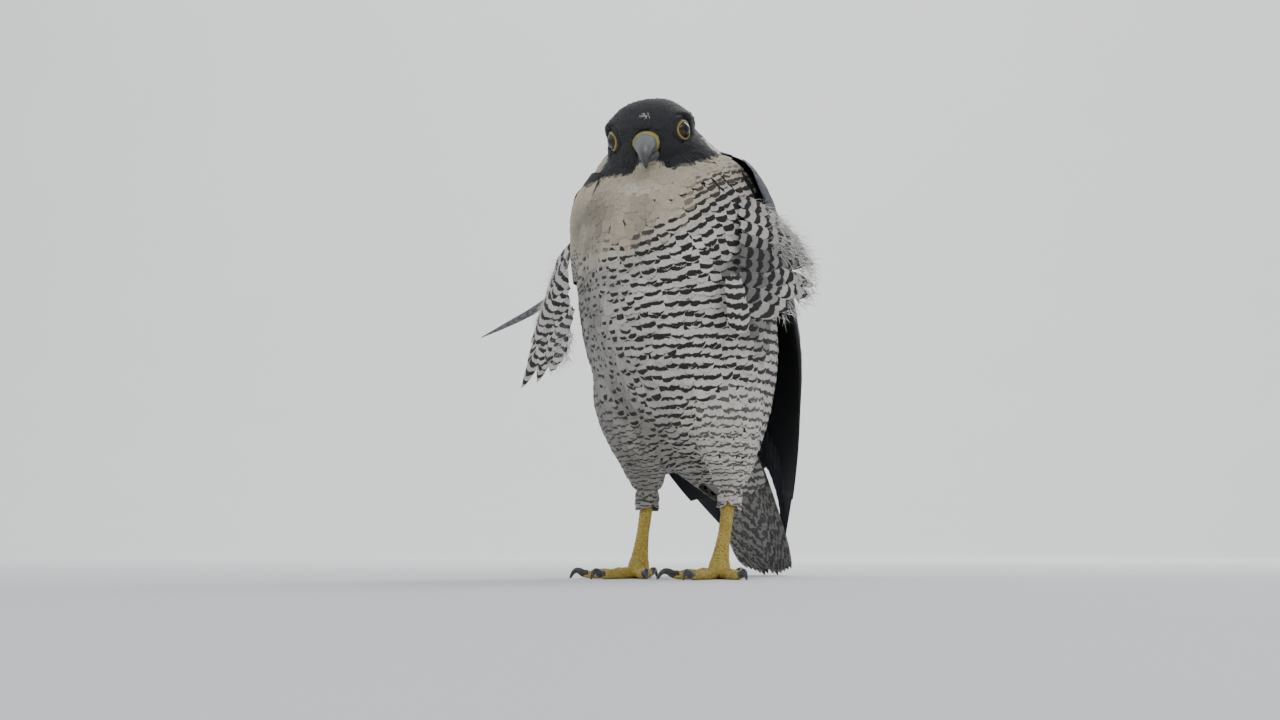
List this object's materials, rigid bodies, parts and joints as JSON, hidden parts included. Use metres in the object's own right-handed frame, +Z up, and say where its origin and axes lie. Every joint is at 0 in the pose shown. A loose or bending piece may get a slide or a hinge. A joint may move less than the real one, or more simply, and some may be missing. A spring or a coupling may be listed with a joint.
{
  "type": "peregrine falcon model",
  "caption": "Life-size standing bird of prey with a hunched body, folded wings, a turned hooded head and wind-blown flank feathers.",
  "frame": {"origin": "middle of the bounding box's underside, on the floor that the feet and the tail tip rest on", "axes": "+Z up; the bird faces -Y and its own left side is towards +X"},
  "size_m": [0.2302, 0.2084, 0.2965],
  "materials": {
    "slate": "dark slate flight and back feathers, matt with a faint sheen",
    "hood": "near-black head feathers, short and close",
    "breast": "cream and grey underparts, barred and spotted dark",
    "barred": "white feathers with dark bars, soft",
    "cere_skin": "smooth yellow-green bare skin",
    "bill_horn": "polished blue-grey horn, darker at the tip",
    "eye_brown": "wet dark brown",
    "leg_skin": "yellow scaled skin",
    "claw_horn": "black horn"
  },
  "bodies": {
    "root": {"head": "hood", "eye_left": "eye_brown", "eye_right": "eye_brown", "cere": "cere_skin", "bill_upper": "bill_horn", "bill_lower": "bill_horn", "neck": "breast", "trunk": "breast", "tail": "slate", "wing_left_coverts": "slate", "wing_left_primaries": "slate", "wing_left_secondaries": "slate", "wing_right_coverts": "slate", "wing_right_primaries": "slate", "wing_right_secondaries": "slate", "flank_left": "barred", "flank_right": "barred", "flank_right_plume": "barred", "thigh_left": "barred", "thigh_right": "barred", "shank_left": "leg_skin", "shank_right": "leg_skin", "toe_left_inner": "leg_skin", "toe_left_middle": "leg_skin", "toe_left_outer": "leg_skin", "toe_left_hind": "leg_skin", "toe_right_inner": "leg_skin", "toe_right_middle": "leg_skin", "toe_right_outer": "leg_skin", "toe_right_hind": "leg_skin", "claw_left_inner": "claw_horn", "claw_left_middle": "claw_horn", "claw_left_outer": "claw_horn", "claw_left_hind": "claw_horn", "claw_right_inner": "claw_horn", "claw_right_middle": "claw_horn", "claw_right_outer": "claw_horn", "claw_right_hind": "claw_horn"}
  },
  "joints": []
}
